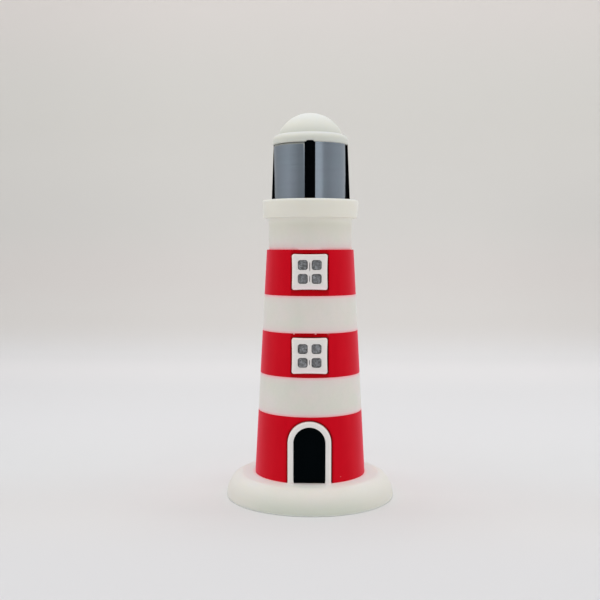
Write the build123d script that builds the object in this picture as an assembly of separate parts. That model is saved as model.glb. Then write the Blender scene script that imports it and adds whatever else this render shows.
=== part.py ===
from build123d import *
import math
import os

# Souvenir lighthouse figurine, in millimetres.
# The origin is the centre of the base's underside. +Z is up, and the door and windows face -Y.

# Heights above the floor
OVERALL_HEIGHT = 99.45
BASE_TOP = 6.13
LOWER_RED_TOP = 22.69
LOWER_WHITE_TOP = 32.47
MIDDLE_RED_TOP = 43.49
UPPER_WHITE_TOP = 52.79
UPPER_RED_TOP = 64.3
GALLERY_BOTTOM = 72.45
GALLERY_TOP = 77.04
LANTERN_TOP = 91.18
BRIM_TOP = 93.8

# Base
BASE_RADIUS = 21.8
BASE_RIM_WIDTH = 4.3
BASE_EDGE_BREAK = 0.3

# Tower
TOWER_BOTTOM_RADIUS = 14.35
TOWER_TOP_RADIUS = 11.27
NECK_RADIUS = 10.75

# Locating pegs between the stacked sections, each with a flat at the back
PEG_RADIUS = 6.0
PEG_HEIGHT = 2.0
PEG_FLAT = 4.8
FIT_GAP = 0.1

# Small round pegs behind the windows and the door
PIN_RADIUS = 1.5
PIN_LENGTH = 2.5

# Gallery
GALLERY_TOP_RADIUS = 12.42
GALLERY_BOTTOM_RADIUS = 12.1
GALLERY_EDGE_ROUND = 0.35
COVE_RADIUS = 0.8
PARAPET_THICKNESS = 1.1
DECK_DEPTH = 1.6

# Lantern room
CORE_RADIUS = 8.9
PANE_RADIUS = 9.36
PANE_THICKNESS = 0.4
PANE_EDGE_GAP = 0.06
POST_WIDTH = 2.42
POST_ROOT_RADIUS = 8.0
POST_BOTTOM_RADIUS = 10.08
POST_TOP_RADIUS = 9.6
POST_TIP = 0.32
POST_CHAMFER = 0.55
NOTCH_GAP = 0.05

# Roof
BRIM_RADIUS = 9.72
BRIM_SHOULDER_WIDTH = 1.65
BRIM_SHOULDER_HEIGHT = 1.45
BRIM_BOTTOM_ROUND = 0.35
DOME_RADIUS = 9.0

# Windows
WINDOW_SIZE = 8.8
WINDOW_CORNER = 0.55
WINDOW_PROUD = 0.2
WINDOW_SEAT = 1.65
PANE_SIZE = 2.47
PANE_CORNER = 0.65
MUNTIN = 0.97
GLAZING_POCKET = 0.95
GLAZING_THICKNESS = 0.6
GLAZING_GAP = 0.02
POCKET_GAP = 0.15
UPPER_WINDOW_Z = 58.79
MIDDLE_WINDOW_Z = 37.95

# Flat recess around each window, open at the top of its red band
RECESS_WIDTH = 9.5
RECESS_DEPTH = 1.1
RECESS_BELOW_WINDOW = 0.35
RECESS_RUNOUT = 0.1

# Door
DOOR_WIDTH = 10.84
DOOR_HEIGHT = 15.5
DOOR_BAND = 1.41
DOOR_FRONT = 13.9
DOOR_SEAT = 12.0
DOOR_RECESS = 0.6
DOOR_PIN_Z = 13.0


# Alignment of a solid that stands centred on its origin
STANDING = (Align.CENTER, Align.CENTER, Align.MIN)


def tower_radius(z):
    """Outer radius of the tapered tower at height z."""
    share = (z - BASE_TOP) / (UPPER_RED_TOP - BASE_TOP)
    return TOWER_BOTTOM_RADIUS + share * (TOWER_TOP_RADIUS - TOWER_BOTTOM_RADIUS)


def at_height(z):
    return Pos(0, 0, z)


def turned(corners):
    """Solid of revolution about Z from corners given as (radius, height, rounding)."""
    points = [(radius, height) for radius, height, _ in corners]
    outline = FilletPolyline(*points, radius=[rounding for _, _, rounding in corners], close=True)
    return revolve(Plane.XZ * make_face(outline), Axis.Z)


def keyed_peg(gap=0.0):
    """Round locating peg standing on z = 0, with its flat towards +Y; a gap makes its socket."""
    radius = PEG_RADIUS + gap
    height = PEG_HEIGHT + gap
    depth = radius + PEG_FLAT + gap
    keep = Box(2 * radius, depth, height, align=(Align.CENTER, Align.MAX, Align.MIN))
    return Cylinder(radius, height, align=STANDING) & Pos(0, PEG_FLAT + gap, 0) * keep


def front_plane(distance, z):
    """Upright plane facing -Y, its local X to the right and local Y up."""
    return Plane(origin=(0, -distance, z), x_dir=(1, 0, 0), z_dir=(0, -1, 0))


def front_slab(sketch, front, back, z):
    """Sketch thickened between two distances in front of the axis."""
    return extrude(front_plane(back, z) * sketch, front - back)


def front_pin(back, z, gap=0.0):
    """Small peg that runs into the tower from a seat at distance back."""
    return front_slab(Circle(PIN_RADIUS + gap), back, back - PIN_LENGTH - gap, z)


# Base

def base():
    flat_radius = BASE_RADIUS - BASE_RIM_WIDTH
    rim = EllipticalCenterArc((flat_radius, 0), BASE_RIM_WIDTH, BASE_TOP, 0, arc_size=90)
    top = Line((flat_radius, BASE_TOP), (0, BASE_TOP))
    axis_side = Line((0, BASE_TOP), (0, 0))
    underside = Line((0, 0), (BASE_RADIUS, 0))
    disc = revolve(Plane.XZ * make_face(Wire([rim, top, axis_side, underside])), Axis.Z)
    bottom_edge = disc.edges().sort_by(Axis.Z)[0]
    return fillet(bottom_edge, BASE_EDGE_BREAK) + at_height(BASE_TOP) * keyed_peg()


# Tower

def tower_section(bottom, top):
    """Tapered block with a socket below and a locating peg above."""
    block = Cone(tower_radius(bottom), tower_radius(top), top - bottom, align=STANDING)
    return at_height(bottom) * (block - keyed_peg(FIT_GAP)) + at_height(top) * keyed_peg()


def window_seat(z):
    """Distance of a window's back from the tower's axis."""
    return tower_radius(z) - WINDOW_SEAT


def window_cut(z):
    """Square pocket and pin hole for one window."""
    side = WINDOW_SIZE + 2 * POCKET_GAP
    outline = RectangleRounded(side, side, WINDOW_CORNER + POCKET_GAP)
    seat = window_seat(z)
    pocket = front_slab(outline, tower_radius(z) + WINDOW_PROUD, seat, z)
    return pocket + front_pin(seat, z, FIT_GAP)


def recess_cut(z, band_top):
    """Flat recess from just below a window up to the edge of the white section above it."""
    low = z - WINDOW_SIZE / 2 - RECESS_BELOW_WINDOW
    high = band_top + RECESS_RUNOUT
    outline = Rectangle(RECESS_WIDTH, high - low)
    return front_slab(outline, tower_radius(low) + 1, tower_radius(z) - RECESS_DEPTH, (low + high) / 2)


def arch_outline(width, height):
    """Round-topped outline standing on its local origin."""
    spring = height - width / 2
    legs = Pos(0, spring / 2) * Rectangle(width, spring)
    return legs + Pos(0, spring) * Circle(width / 2)


def door_cut():
    """Arched pocket, open at its foot, and the door's pin hole."""
    outline = arch_outline(DOOR_WIDTH + 2 * POCKET_GAP, DOOR_HEIGHT + POCKET_GAP)
    pocket = front_slab(outline, DOOR_FRONT + 1, DOOR_SEAT, BASE_TOP)
    return pocket + front_pin(DOOR_SEAT, DOOR_PIN_Z, FIT_GAP)


def tower_lower_red():
    return tower_section(BASE_TOP, LOWER_RED_TOP) - door_cut()


def tower_lower_white():
    return tower_section(LOWER_RED_TOP, LOWER_WHITE_TOP)


def tower_middle_red():
    section = tower_section(LOWER_WHITE_TOP, MIDDLE_RED_TOP)
    return section - recess_cut(MIDDLE_WINDOW_Z, MIDDLE_RED_TOP) - window_cut(MIDDLE_WINDOW_Z)


def tower_upper_white():
    return tower_section(MIDDLE_RED_TOP, UPPER_WHITE_TOP) - recess_cut(MIDDLE_WINDOW_Z, MIDDLE_RED_TOP)


def tower_upper_red():
    section = tower_section(UPPER_WHITE_TOP, UPPER_RED_TOP)
    return section - recess_cut(UPPER_WINDOW_Z, UPPER_RED_TOP) - window_cut(UPPER_WINDOW_Z)


# Windows

def window_frame(z):
    """Square frame plate with four blind pockets in its face and a pin at its back."""
    seat = window_seat(z)
    face = tower_radius(z) + WINDOW_PROUD
    frame = front_slab(RectangleRounded(WINDOW_SIZE, WINDOW_SIZE, WINDOW_CORNER), face, seat, z)
    opening = RectangleRounded(PANE_SIZE, PANE_SIZE, PANE_CORNER)
    for x, y in window_pane_centres():
        frame -= front_slab(Pos(x, y) * opening, face, face - GLAZING_POCKET, z)
    return frame + front_pin(seat, z)


def window_pane_centres():
    """The four pane centres: top left, top right, bottom left, bottom right."""
    offset = (PANE_SIZE + MUNTIN) / 2
    return [(-offset, offset), (offset, offset), (-offset, -offset), (offset, -offset)]


def window_pane(z, centre):
    """Small square insert on the floor of its pocket."""
    floor = tower_radius(z) + WINDOW_PROUD - GLAZING_POCKET
    side = PANE_SIZE - 2 * GLAZING_GAP
    insert = Pos(*centre) * RectangleRounded(side, side, PANE_CORNER - GLAZING_GAP)
    return front_slab(insert, floor + GLAZING_THICKNESS, floor, z)


# Door

def door_arch():
    """Round-topped band that stands on the base around the door."""
    inner_height = DOOR_HEIGHT - DOOR_BAND
    band = arch_outline(DOOR_WIDTH, DOOR_HEIGHT) - arch_outline(DOOR_WIDTH - 2 * DOOR_BAND, inner_height)
    return front_slab(band, DOOR_FRONT, DOOR_SEAT, BASE_TOP)


def door_panel():
    """Dark door leaf, set back inside the arch, with a pin at its back."""
    width = DOOR_WIDTH - 2 * DOOR_BAND - 2 * GLAZING_GAP
    leaf = arch_outline(width, DOOR_HEIGHT - DOOR_BAND - GLAZING_GAP)
    face = DOOR_FRONT - DOOR_RECESS
    return front_slab(leaf, face, DOOR_SEAT, BASE_TOP) + front_pin(DOOR_SEAT, DOOR_PIN_Z)


# Gallery

def gallery_neck():
    """Neck, coved underside and gallery ring with a sunk deck inside its parapet."""
    deck = GALLERY_TOP - DECK_DEPTH
    parapet_inner = GALLERY_TOP_RADIUS - PARAPET_THICKNESS
    body = turned([
        (0, UPPER_RED_TOP, 0),
        (NECK_RADIUS, UPPER_RED_TOP, 0),
        (NECK_RADIUS, GALLERY_BOTTOM, COVE_RADIUS),
        (GALLERY_BOTTOM_RADIUS, GALLERY_BOTTOM, 0.15),
        (GALLERY_TOP_RADIUS, GALLERY_TOP, GALLERY_EDGE_ROUND),
        (parapet_inner, GALLERY_TOP, 0.2),
        (parapet_inner, deck, 0),
        (0, deck, 0),
    ])
    return body - at_height(UPPER_RED_TOP) * keyed_peg(FIT_GAP) + at_height(deck) * keyed_peg()


# Lantern room

def post():
    """Front post: a rib that leans in as it rises, with chamfered top corners."""
    foot = GALLERY_TOP - DECK_DEPTH
    tip = LANTERN_TOP + POST_TIP
    side = Polyline((-POST_ROOT_RADIUS, foot), (-POST_BOTTOM_RADIUS, foot), (-POST_TOP_RADIUS, tip),
                    (-POST_ROOT_RADIUS, tip), close=True)
    rib = extrude(Plane.YZ * make_face(side), POST_WIDTH / 2, both=True)
    half = POST_WIDTH / 2
    face = Polyline((-half, foot), (half, foot), (half, tip - POST_CHAMFER), (half - POST_CHAMFER, tip),
                    (POST_CHAMFER - half, tip), (-half, tip - POST_CHAMFER), close=True)
    return rib & front_slab(make_face(face), POST_BOTTOM_RADIUS, POST_ROOT_RADIUS, 0)


def lantern_core():
    """Dark drum with four posts, keyed on the deck below and in the roof above."""
    foot = GALLERY_TOP - DECK_DEPTH
    drum = Cylinder(CORE_RADIUS, LANTERN_TOP - foot, align=STANDING)
    core = at_height(foot) * (drum - keyed_peg(FIT_GAP)) + at_height(LANTERN_TOP) * keyed_peg()
    for quarter in range(4):
        core += Rot(0, 0, 90 * quarter) * post()
    return core


def lantern_pane(turn):
    """Curved pane between two posts; turn is the direction that its middle faces, in degrees."""
    foot = GALLERY_TOP - DECK_DEPTH
    inner = PANE_RADIUS - PANE_THICKNESS
    post_half_angle = math.degrees(math.asin((POST_WIDTH / 2 + PANE_EDGE_GAP) / inner))
    span = 90 - 2 * post_half_angle
    middle = Pos((inner + PANE_RADIUS) / 2, (foot + LANTERN_TOP) / 2)
    section = middle * Rectangle(PANE_THICKNESS, LANTERN_TOP - foot)
    return Rot(0, 0, turn - span / 2) * revolve(Plane.XZ * section, Axis.Z, span)


# Roof

def brim():
    """Disc with an elliptical shoulder above and a small round below."""
    flat_radius = BRIM_RADIUS - BRIM_SHOULDER_WIDTH
    shoulder_foot = BRIM_TOP - BRIM_SHOULDER_HEIGHT
    lower_edge = LANTERN_TOP + BRIM_BOTTOM_ROUND
    foot_radius = BRIM_RADIUS - BRIM_BOTTOM_ROUND
    shoulder = EllipticalCenterArc(
        (flat_radius, shoulder_foot), BRIM_SHOULDER_WIDTH, BRIM_SHOULDER_HEIGHT, 0, arc_size=90)
    top = Line((flat_radius, BRIM_TOP), (0, BRIM_TOP))
    axis_side = Line((0, BRIM_TOP), (0, LANTERN_TOP))
    underside = Line((0, LANTERN_TOP), (foot_radius, LANTERN_TOP))
    round_edge = CenterArc((foot_radius, lower_edge), BRIM_BOTTOM_ROUND, -90, 90)
    side = Line((BRIM_RADIUS, lower_edge), (BRIM_RADIUS, shoulder_foot))
    outline = Wire([shoulder, top, axis_side, underside, round_edge, side])
    return revolve(Plane.XZ * make_face(outline), Axis.Z)


def roof():
    """Brim and dome in one piece, socketed for the core's peg and notched for the post tips."""
    dome = at_height(OVERALL_HEIGHT - DOME_RADIUS) * Sphere(DOME_RADIUS)
    roof_height = OVERALL_HEIGHT - LANTERN_TOP
    above_core = at_height(LANTERN_TOP) * Cylinder(BRIM_RADIUS, roof_height, align=STANDING)
    cap = brim() + (dome & above_core) - at_height(LANTERN_TOP) * keyed_peg(FIT_GAP)
    notch_depth = BRIM_RADIUS - POST_ROOT_RADIUS + NOTCH_GAP
    notch_width = POST_WIDTH + 2 * NOTCH_GAP
    notch_height = POST_TIP + NOTCH_GAP
    notch = Box(notch_width, notch_depth, notch_height, align=(Align.CENTER, Align.MIN, Align.MIN))
    for quarter in range(4):
        cap -= Rot(0, 0, 90 * quarter) * Pos(0, -BRIM_RADIUS, LANTERN_TOP) * notch
    return cap


def all_nodes():
    """Every piece of the figurine by node name."""
    nodes = {
        "base": base(),
        "tower_lower_red": tower_lower_red(),
        "tower_lower_white": tower_lower_white(),
        "tower_middle_red": tower_middle_red(),
        "tower_upper_white": tower_upper_white(),
        "tower_upper_red": tower_upper_red(),
        "gallery_neck": gallery_neck(),
        "lantern_core": lantern_core(),
        "roof": roof(),
        "door_arch": door_arch(),
        "door_panel": door_panel(),
    }
    corners = ["top_left", "top_right", "bottom_left", "bottom_right"]
    for storey, z in [("upper", UPPER_WINDOW_Z), ("middle", MIDDLE_WINDOW_Z)]:
        nodes[f"{storey}_window_frame"] = window_frame(z)
        for corner, centre in zip(corners, window_pane_centres()):
            nodes[f"{storey}_window_pane_{corner}"] = window_pane(z, centre)
    for place, turn in [("front_right", -45), ("rear_right", 45), ("rear_left", 135), ("front_left", 225)]:
        nodes[f"lantern_pane_{place}"] = lantern_pane(turn)
    return nodes


os.makedirs("parts", exist_ok=True)
for name, piece in all_nodes().items():
    export_step(piece, f"parts/{name}.step")
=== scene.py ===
import math

import bmesh
import bpy
from mathutils import Matrix, Vector, noise


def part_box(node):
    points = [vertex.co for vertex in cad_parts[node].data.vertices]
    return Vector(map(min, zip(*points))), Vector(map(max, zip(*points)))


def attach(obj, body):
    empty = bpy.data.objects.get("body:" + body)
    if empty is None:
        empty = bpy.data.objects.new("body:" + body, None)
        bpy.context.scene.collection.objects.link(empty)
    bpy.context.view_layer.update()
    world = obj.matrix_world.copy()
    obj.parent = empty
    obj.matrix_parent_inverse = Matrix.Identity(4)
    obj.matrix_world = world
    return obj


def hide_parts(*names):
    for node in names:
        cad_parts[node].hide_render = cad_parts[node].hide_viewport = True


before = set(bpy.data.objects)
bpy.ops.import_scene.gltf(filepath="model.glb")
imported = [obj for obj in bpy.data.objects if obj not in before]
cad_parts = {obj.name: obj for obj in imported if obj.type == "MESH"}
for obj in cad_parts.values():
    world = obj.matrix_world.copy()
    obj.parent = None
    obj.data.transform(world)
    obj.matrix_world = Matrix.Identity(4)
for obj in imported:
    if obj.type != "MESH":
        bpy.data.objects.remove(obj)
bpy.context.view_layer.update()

# Souvenir lighthouse figurine, in metres. +Z is up, and the door and the windows face -Y.
MM = 0.001

# Heights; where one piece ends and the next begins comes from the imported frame
BANDS = ("tower_lower_red", "tower_lower_white", "tower_middle_red", "tower_upper_white", "tower_upper_red")
BAND_FEET = [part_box(node)[0].z for node in (*BANDS, "gallery_neck")]
BASE_TOP = BAND_FEET[0]
UPPER_WHITE_FOOT = BAND_FEET[3]
NECK_FOOT = BAND_FEET[5]
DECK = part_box("lantern_core")[0].z
GALLERY_TOP = DECK + 1.6 * MM
GALLERY_BOTTOM = GALLERY_TOP - 4.59 * MM
LANTERN_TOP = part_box("roof")[0].z
BRIM_TOP = LANTERN_TOP + 2.62 * MM
DOME_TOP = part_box("roof")[1].z

# Radii
BASE_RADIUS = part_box("base")[1].x
BASE_RIM_WIDTH = 4.3 * MM
TOWER_BOTTOM_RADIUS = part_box("tower_lower_red")[1].x
TOWER_TOP_RADIUS = 11.27 * MM
NECK_RADIUS = 10.75 * MM
GALLERY_TOP_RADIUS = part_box("gallery_neck")[1].x
GALLERY_BOTTOM_RADIUS = 12.1 * MM
CORE_RADIUS = 8.9 * MM
PANE_RADIUS = 9.36 * MM
BRIM_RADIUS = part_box("roof")[1].x
DOME_RADIUS = 9.0 * MM
DOME_MIDDLE = DOME_TOP - DOME_RADIUS

# Locating pegs and sockets between the stacked pieces, each with a flat at the back
PEG_RADIUS = 6.0 * MM
PEG_FLAT = 4.8 * MM
PEG_HEIGHT = 2.0 * MM
FIT_GAP = 0.1 * MM

# Round pegs behind the windows and the door
PIN_RADIUS = 1.5 * MM
PIN_LENGTH = 2.5 * MM
PIN_OVERLAP = 0.2 * MM

# Windows and door
WINDOW_THICKNESS = 1.85 * MM
WINDOW_CORNER = 0.62 * MM
WINDOW_PINCH = 0.11 * MM
POCKET_GAP = 0.15 * MM
RECESS_WIDTH = 9.5 * MM
RECESS_DEPTH = 1.3 * MM
HAIRLINE_HALF = 0.09 * MM
HAIRLINE_DEPTH = 0.45 * MM
DOOR_BAND = 1.41 * MM
DOOR_SEAT = 12.0 * MM
DOOR_PIN_HEIGHT = 6.87 * MM
CUTTER_REACH = 2 * MM

# Lantern posts and the film between them
POST_HALF = 1.21 * MM
POST_FLARE = 0.06 * MM
POST_ROOT_RADIUS = 8.0 * MM
POST_FOOT = 1.9 * MM
POST_TIP = 0.32 * MM
POST_CHAMFER = 0.55 * MM
NOTCH_GAP = 0.05 * MM
PANE_THICKNESS = 0.4 * MM
PANE_CURL = 0.1 * MM

# Divisions of a turned piece, a small arc, a circle, a straight edge, the arch's legs and a turned wall
TURN_STEPS = 256
ARC_STEPS = 6
CIRCLE_STEPS = 48
EDGE_STEPS = 14
LEG_STEPS = 24
WALL_STEP = 0.8 * MM
SHARP_ANGLE = math.radians(18)


# Mesh helpers

def tower_radius(z):
    """Outer radius of the tapered tower at height z."""
    share = (z - BASE_TOP) / (NECK_FOOT - BASE_TOP)
    return TOWER_BOTTOM_RADIUS + share * (TOWER_TOP_RADIUS - TOWER_BOTTOM_RADIUS)


def link(name, data):
    """New object in the scene that holds a mesh, a camera or a light."""
    thing = bpy.data.objects.new(name, data)
    bpy.context.scene.collection.objects.link(thing)
    return thing


def mesh_piece(name, points, faces):
    """New object from points and faces."""
    mesh = bpy.data.meshes.new(name)
    mesh.from_pydata([tuple(p) for p in points], [], faces)
    tidy_mesh(mesh)
    return link(name, mesh)


def tidy_mesh(mesh):
    """Merges doubled points, turns the normals outwards and shades smoothly between sharp edges."""
    work = bmesh.new()
    work.from_mesh(mesh)
    bmesh.ops.remove_doubles(work, verts=work.verts, dist=1e-7)
    bmesh.ops.recalc_face_normals(work, faces=work.faces)
    work.to_mesh(mesh)
    work.free()
    mesh.shade_smooth()
    mesh.set_sharp_from_angle(angle=SHARP_ANGLE)


def boolean(piece, operation, tools):
    """Cuts or joins tool objects into the piece and deletes them."""
    for tool in tools:
        step = piece.modifiers.new("shape", "BOOLEAN")
        step.operation = operation
        step.solver = "EXACT"
        step.object = tool
    graph = bpy.context.evaluated_depsgraph_get()
    mesh = bpy.data.meshes.new_from_object(piece.evaluated_get(graph), depsgraph=graph)
    piece.modifiers.clear()
    piece.data = mesh
    tidy_mesh(mesh)
    for tool in tools:
        bpy.data.objects.remove(tool)


def stand_for(piece, node, material):
    """Puts a finished piece in the place of a CAD node."""
    piece.data.materials.clear()
    piece.data.materials.append(material)
    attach(piece, "root")
    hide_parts(node)


def arc(centre, radii, start, end, steps):
    """Points of an elliptical arc, angles in degrees."""
    angles = [math.radians(start + (end - start) * k / steps) for k in range(steps + 1)]
    return [Vector((centre[0] + radii[0] * math.cos(angle), centre[1] + radii[1] * math.sin(angle)))
            for angle in angles]


def rounded_outline(corners, steps=ARC_STEPS):
    """Points of an open outline from (x, y, rounding) corners, each rounding as a short arc."""
    points = []
    for i, (x, y, radius) in enumerate(corners):
        here = Vector((x, y))
        if radius == 0:
            points.append(here)
            continue
        back = (Vector(corners[i - 1][:2]) - here).normalized()
        ahead = (Vector(corners[i + 1][:2]) - here).normalized()
        half = back.angle(ahead) / 2
        reach = radius / math.tan(half)
        centre = here + (back + ahead).normalized() * radius / math.sin(half)
        start = here + back * reach - centre
        sweep = start.angle_signed(here + ahead * reach - centre)
        for k in range(steps + 1):
            points.append(centre + Matrix.Rotation(-sweep * k / steps, 2) @ start)
    return points


def walled(points):
    """The outline with its upright outer runs divided."""
    result = [points[0]]
    for a, b in zip(points, points[1:]):
        upright = abs(b.y - a.y) > abs(b.x - a.x) and min(a.x, b.x) > PEG_RADIUS + 2 * FIT_GAP
        parts = max(1, math.ceil((b - a).length / WALL_STEP)) if upright else 1
        result += [a.lerp(b, k / parts) for k in range(1, parts + 1)]
    return result


def seam(radius, height, angle):
    """Low ridge where each printed layer starts and ends, on the +X side; it fades out towards the pegs."""
    share = min(1.0, max(0.0, (radius - PEG_RADIUS - 2 * FIT_GAP) / (2 * MM)))
    away = (angle + math.pi) % (2 * math.pi) - math.pi
    rough = noise.noise(Vector((0, 0, height / (0.9 * MM))))
    return share * (0.035 + 0.03 * rough) * MM * math.exp(-(away * radius / (0.28 * MM)) ** 2)


def no_seam(radius, height, angle):
    return 0


def turned(name, outline, bulge=seam):
    """Closed solid turned about Z from (radius, height) points that start and end on the axis."""
    points, rings = [], []
    for radius, height in walled(outline):
        if radius < 1e-9:
            rings.append([len(points)])
            points.append((0, 0, height))
            continue
        ring = []
        keyed = min(abs(radius - PEG_RADIUS), abs(radius - PEG_RADIUS - FIT_GAP)) < 1e-7
        for k in range(TURN_STEPS):
            angle = 2 * math.pi * k / TURN_STEPS
            r = radius + bulge(radius, height, angle)
            y = r * math.sin(angle)
            if keyed:
                y = min(y, radius - PEG_RADIUS + PEG_FLAT)
            ring.append(len(points))
            points.append((r * math.cos(angle), y, height))
        rings.append(ring)
    faces = []
    for low, high in zip(rings, rings[1:]):
        for k in range(TURN_STEPS):
            corners = ((low, k), (low, k + 1), (high, k + 1), (high, k))
            faces.append(tuple(dict.fromkeys(ring[i % len(ring)] for ring, i in corners)))
    return mesh_piece(name, points, faces)


def socket_below(z):
    """Outline points of the keyed socket under a piece that stands at height z."""
    radius = PEG_RADIUS + FIT_GAP
    return [(0, z + PEG_HEIGHT + FIT_GAP, 0), (radius, z + PEG_HEIGHT + FIT_GAP, 0), (radius, z, 0)]


def peg_above(z):
    """Outline points of the keyed peg on top of a piece that ends at height z."""
    return [(PEG_RADIUS, z, 0), (PEG_RADIUS, z + PEG_HEIGHT, 0), (0, z + PEG_HEIGHT, 0)]


def loft(name, loops, capped=True):
    """Skin over loops of points, closed by flat ends, or from the last loop to the first if not capped."""
    count = len(loops[0])
    points = [p for loop in loops for p in loop]
    faces = []
    for i in range(len(loops) - capped):
        a, b = i * count, (i + 1) % len(loops) * count
        faces += [(a + k, a + (k + 1) % count, b + (k + 1) % count, b + k) for k in range(count)]
    if capped:
        faces.append(tuple(range(count)))
        faces.append(tuple(range(len(points) - 1, len(points) - count - 1, -1)))
    return mesh_piece(name, points, faces)


def square_loop(side, radius, centre=(0, 0), pinch=0.0):
    """Points of a square with round corners; a pinch pulls the middles of its edges in."""
    half = side / 2
    inner = half - radius
    corners = []
    for start, sx, sy in ((0, 1, 1), (90, -1, 1), (180, -1, -1), (270, 1, -1)):
        corners.append(arc((sx * inner, sy * inner), (radius, radius), start, start + 90, ARC_STEPS))
    points = []
    for here, ahead in zip(corners, corners[1:] + corners[:1]):
        points += here
        points += [here[-1].lerp(ahead[0], k / EDGE_STEPS) for k in range(1, EDGE_STEPS)]
    return [(centre[0] + x * (1 - pinch / half * (1 - (y / half) ** 2)),
             centre[1] + y * (1 - pinch / half * (1 - (x / half) ** 2))) for x, y in points]


def front_loop(outline, distance, z):
    """An (x, height) outline in the upright plane at that distance in front of the axis."""
    return [(x, -distance, z + y) for x, y in outline]


def prism(name, outline, front, back, z):
    """Closed slab of an outline between two distances in front of the axis."""
    return loft(name, [front_loop(outline, front, z), front_loop(outline, back, z)])


def quarter_turn(quarter, size):
    """Rotation by so many right angles about Z, as a square matrix of that size."""
    return Matrix.Rotation(math.radians(90 * quarter), size, "Z")


def pin(back, z, gap=0.0):
    """Round peg that runs into the tower from a seat at distance back."""
    circle = arc((0, 0), (PIN_RADIUS + gap, PIN_RADIUS + gap), 0, 360, CIRCLE_STEPS)[:-1]
    return prism("pin", circle, back + PIN_OVERLAP, back - PIN_LENGTH - gap, z)


# Materials

LAYER_PITCH = 0.2 * MM
GREENISH = (0.745, 0.735, 0.662)
PINKISH = (0.785, 0.732, 0.682)
RED_MIDDLE = (0.5, 0.002, 0.009)
RED_LIGHT = (0.64, 0.0010, 0.0115)
RED_DARK = (0.58, 0.0008, 0.0095)
RED_STREAK = (0.745, 0.012, 0.024)
# Painted shade round a plate or the arch, and a painted shadow line beside it
RED_PAINTED_SHADE = (0.40, 0.0001, 0.002)
RED_SHADOW = (0.15, 0.0001, 0.001)


def new_material(name, colour, roughness, specular, others=None):
    """Principled material, with its even values set on the shader, and its nodes."""
    material = bpy.data.materials.new(name)
    material.use_nodes = True
    tree = material.node_tree
    shader = tree.nodes["Principled BSDF"]
    values = {"Base Color": (*colour, 1), "Roughness": roughness, "Specular IOR Level": specular}
    for socket, value in (values | (others or {})).items():
        shader.inputs[socket].default_value = value
    return material, tree, shader


def add_node(tree, kind, inputs=None, **settings):
    node = tree.nodes.new(kind)
    for key, value in settings.items():
        setattr(node, key, value)
    for key, value in (inputs or {}).items():
        if isinstance(value, bpy.types.NodeSocket):
            tree.links.new(value, node.inputs[key])
        else:
            node.inputs[key].default_value = value
    return node


def math_node(tree, operation, *values):
    return add_node(tree, "ShaderNodeMath", dict(enumerate(values)), operation=operation).outputs[0]


def object_point(tree):
    return add_node(tree, "ShaderNodeTexCoord").outputs["Object"]


def turned_point(tree, scale=(1, 1, 1), turn=0.0):
    """Object coordinates turned about Y, in the plane of the front, then stretched."""
    turned = add_node(tree, "ShaderNodeMapping", {"Vector": object_point(tree), "Rotation": (0, turn, 0)})
    return add_node(tree, "ShaderNodeMapping", {"Vector": turned.outputs[0], "Scale": scale}).outputs[0]


def noise_value(tree, scale, detail=2.0, point=None):
    return add_node(tree, "ShaderNodeTexNoise",
                    {"Vector": point or object_point(tree), "Scale": scale, "Detail": detail}).outputs["Fac"]


def mixed_colour(tree, share, a, b):
    """Colour a where share is 0 and colour b where it is 1; each is a socket or three numbers."""
    node = add_node(tree, "ShaderNodeMix", data_type="RGBA")
    for index, value in ((0, share), (6, a), (7, b)):
        if isinstance(value, bpy.types.NodeSocket):
            tree.links.new(value, node.inputs[index])
        else:
            node.inputs[index].default_value = (*value, 1) if index else value
    return node.outputs[2]


def remapped(tree, value, low, high, new_low=0.0, new_high=1.0, kind="LINEAR"):
    inputs = {"Value": value, "From Min": low, "From Max": high, "To Min": new_low, "To Max": new_high}
    return add_node(tree, "ShaderNodeMapRange", inputs, interpolation_type=kind).outputs[0]


def product(tree, value, *others):
    for other in others:
        value = math_node(tree, "MULTIPLY", value, other)
    return value


def offset(tree, value, middle=0.0):
    """How far a value is from its middle, either way."""
    return math_node(tree, "ABSOLUTE", math_node(tree, "SUBTRACT", value, middle))


def hypotenuse(tree, a, b):
    return math_node(tree, "SQRT", math_node(tree, "ADD", product(tree, a, a), product(tree, b, b)))


def eased(tree, value, low, high, new_low, new_high):
    return remapped(tree, value, low, high, new_low, new_high, "SMOOTHSTEP")


def coordinate(axis):
    """Maker of one object coordinate."""
    return lambda tree: add_node(tree, "ShaderNodeSeparateXYZ", {"Vector": object_point(tree)}).outputs[axis]


side_value, depth_value, height_value = (coordinate(axis) for axis in range(3))


def aside_value(tree):
    """Distance from the middle plane, to the left or the right."""
    return offset(tree, side_value(tree))


def radius_value(tree):
    """Distance from the object's axis."""
    return hypotenuse(tree, side_value(tree), depth_value(tree))


def on_front(tree):
    """1 on the front half of the object and 0 behind."""
    return math_node(tree, "LESS_THAN", depth_value(tree), 0.0)


def stripes(tree, point, pitch, direction, wobble, detail_scale):
    """Parallel bands that follow one another in a direction, as a value from 0 to 1."""
    return add_node(tree, "ShaderNodeTexWave",
                    {"Vector": point, "Scale": math.pi / 10 / pitch, "Distortion": wobble, "Detail": 2.0,
                     "Detail Scale": detail_scale},
                    wave_type="BANDS", bands_direction=direction, wave_profile="SIN").outputs["Fac"]


def layer_lines(tree):
    """Fine horizontal print lines."""
    return stripes(tree, object_point(tree), LAYER_PITCH, "Z", 0.6, 0.02)


def hatch(tree, pitch):
    """Fine parallel lines on the front, halfway between upright and level."""
    return stripes(tree, turned_point(tree, turn=math.radians(45)), pitch, "X", 1.0, 0.6)


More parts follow.
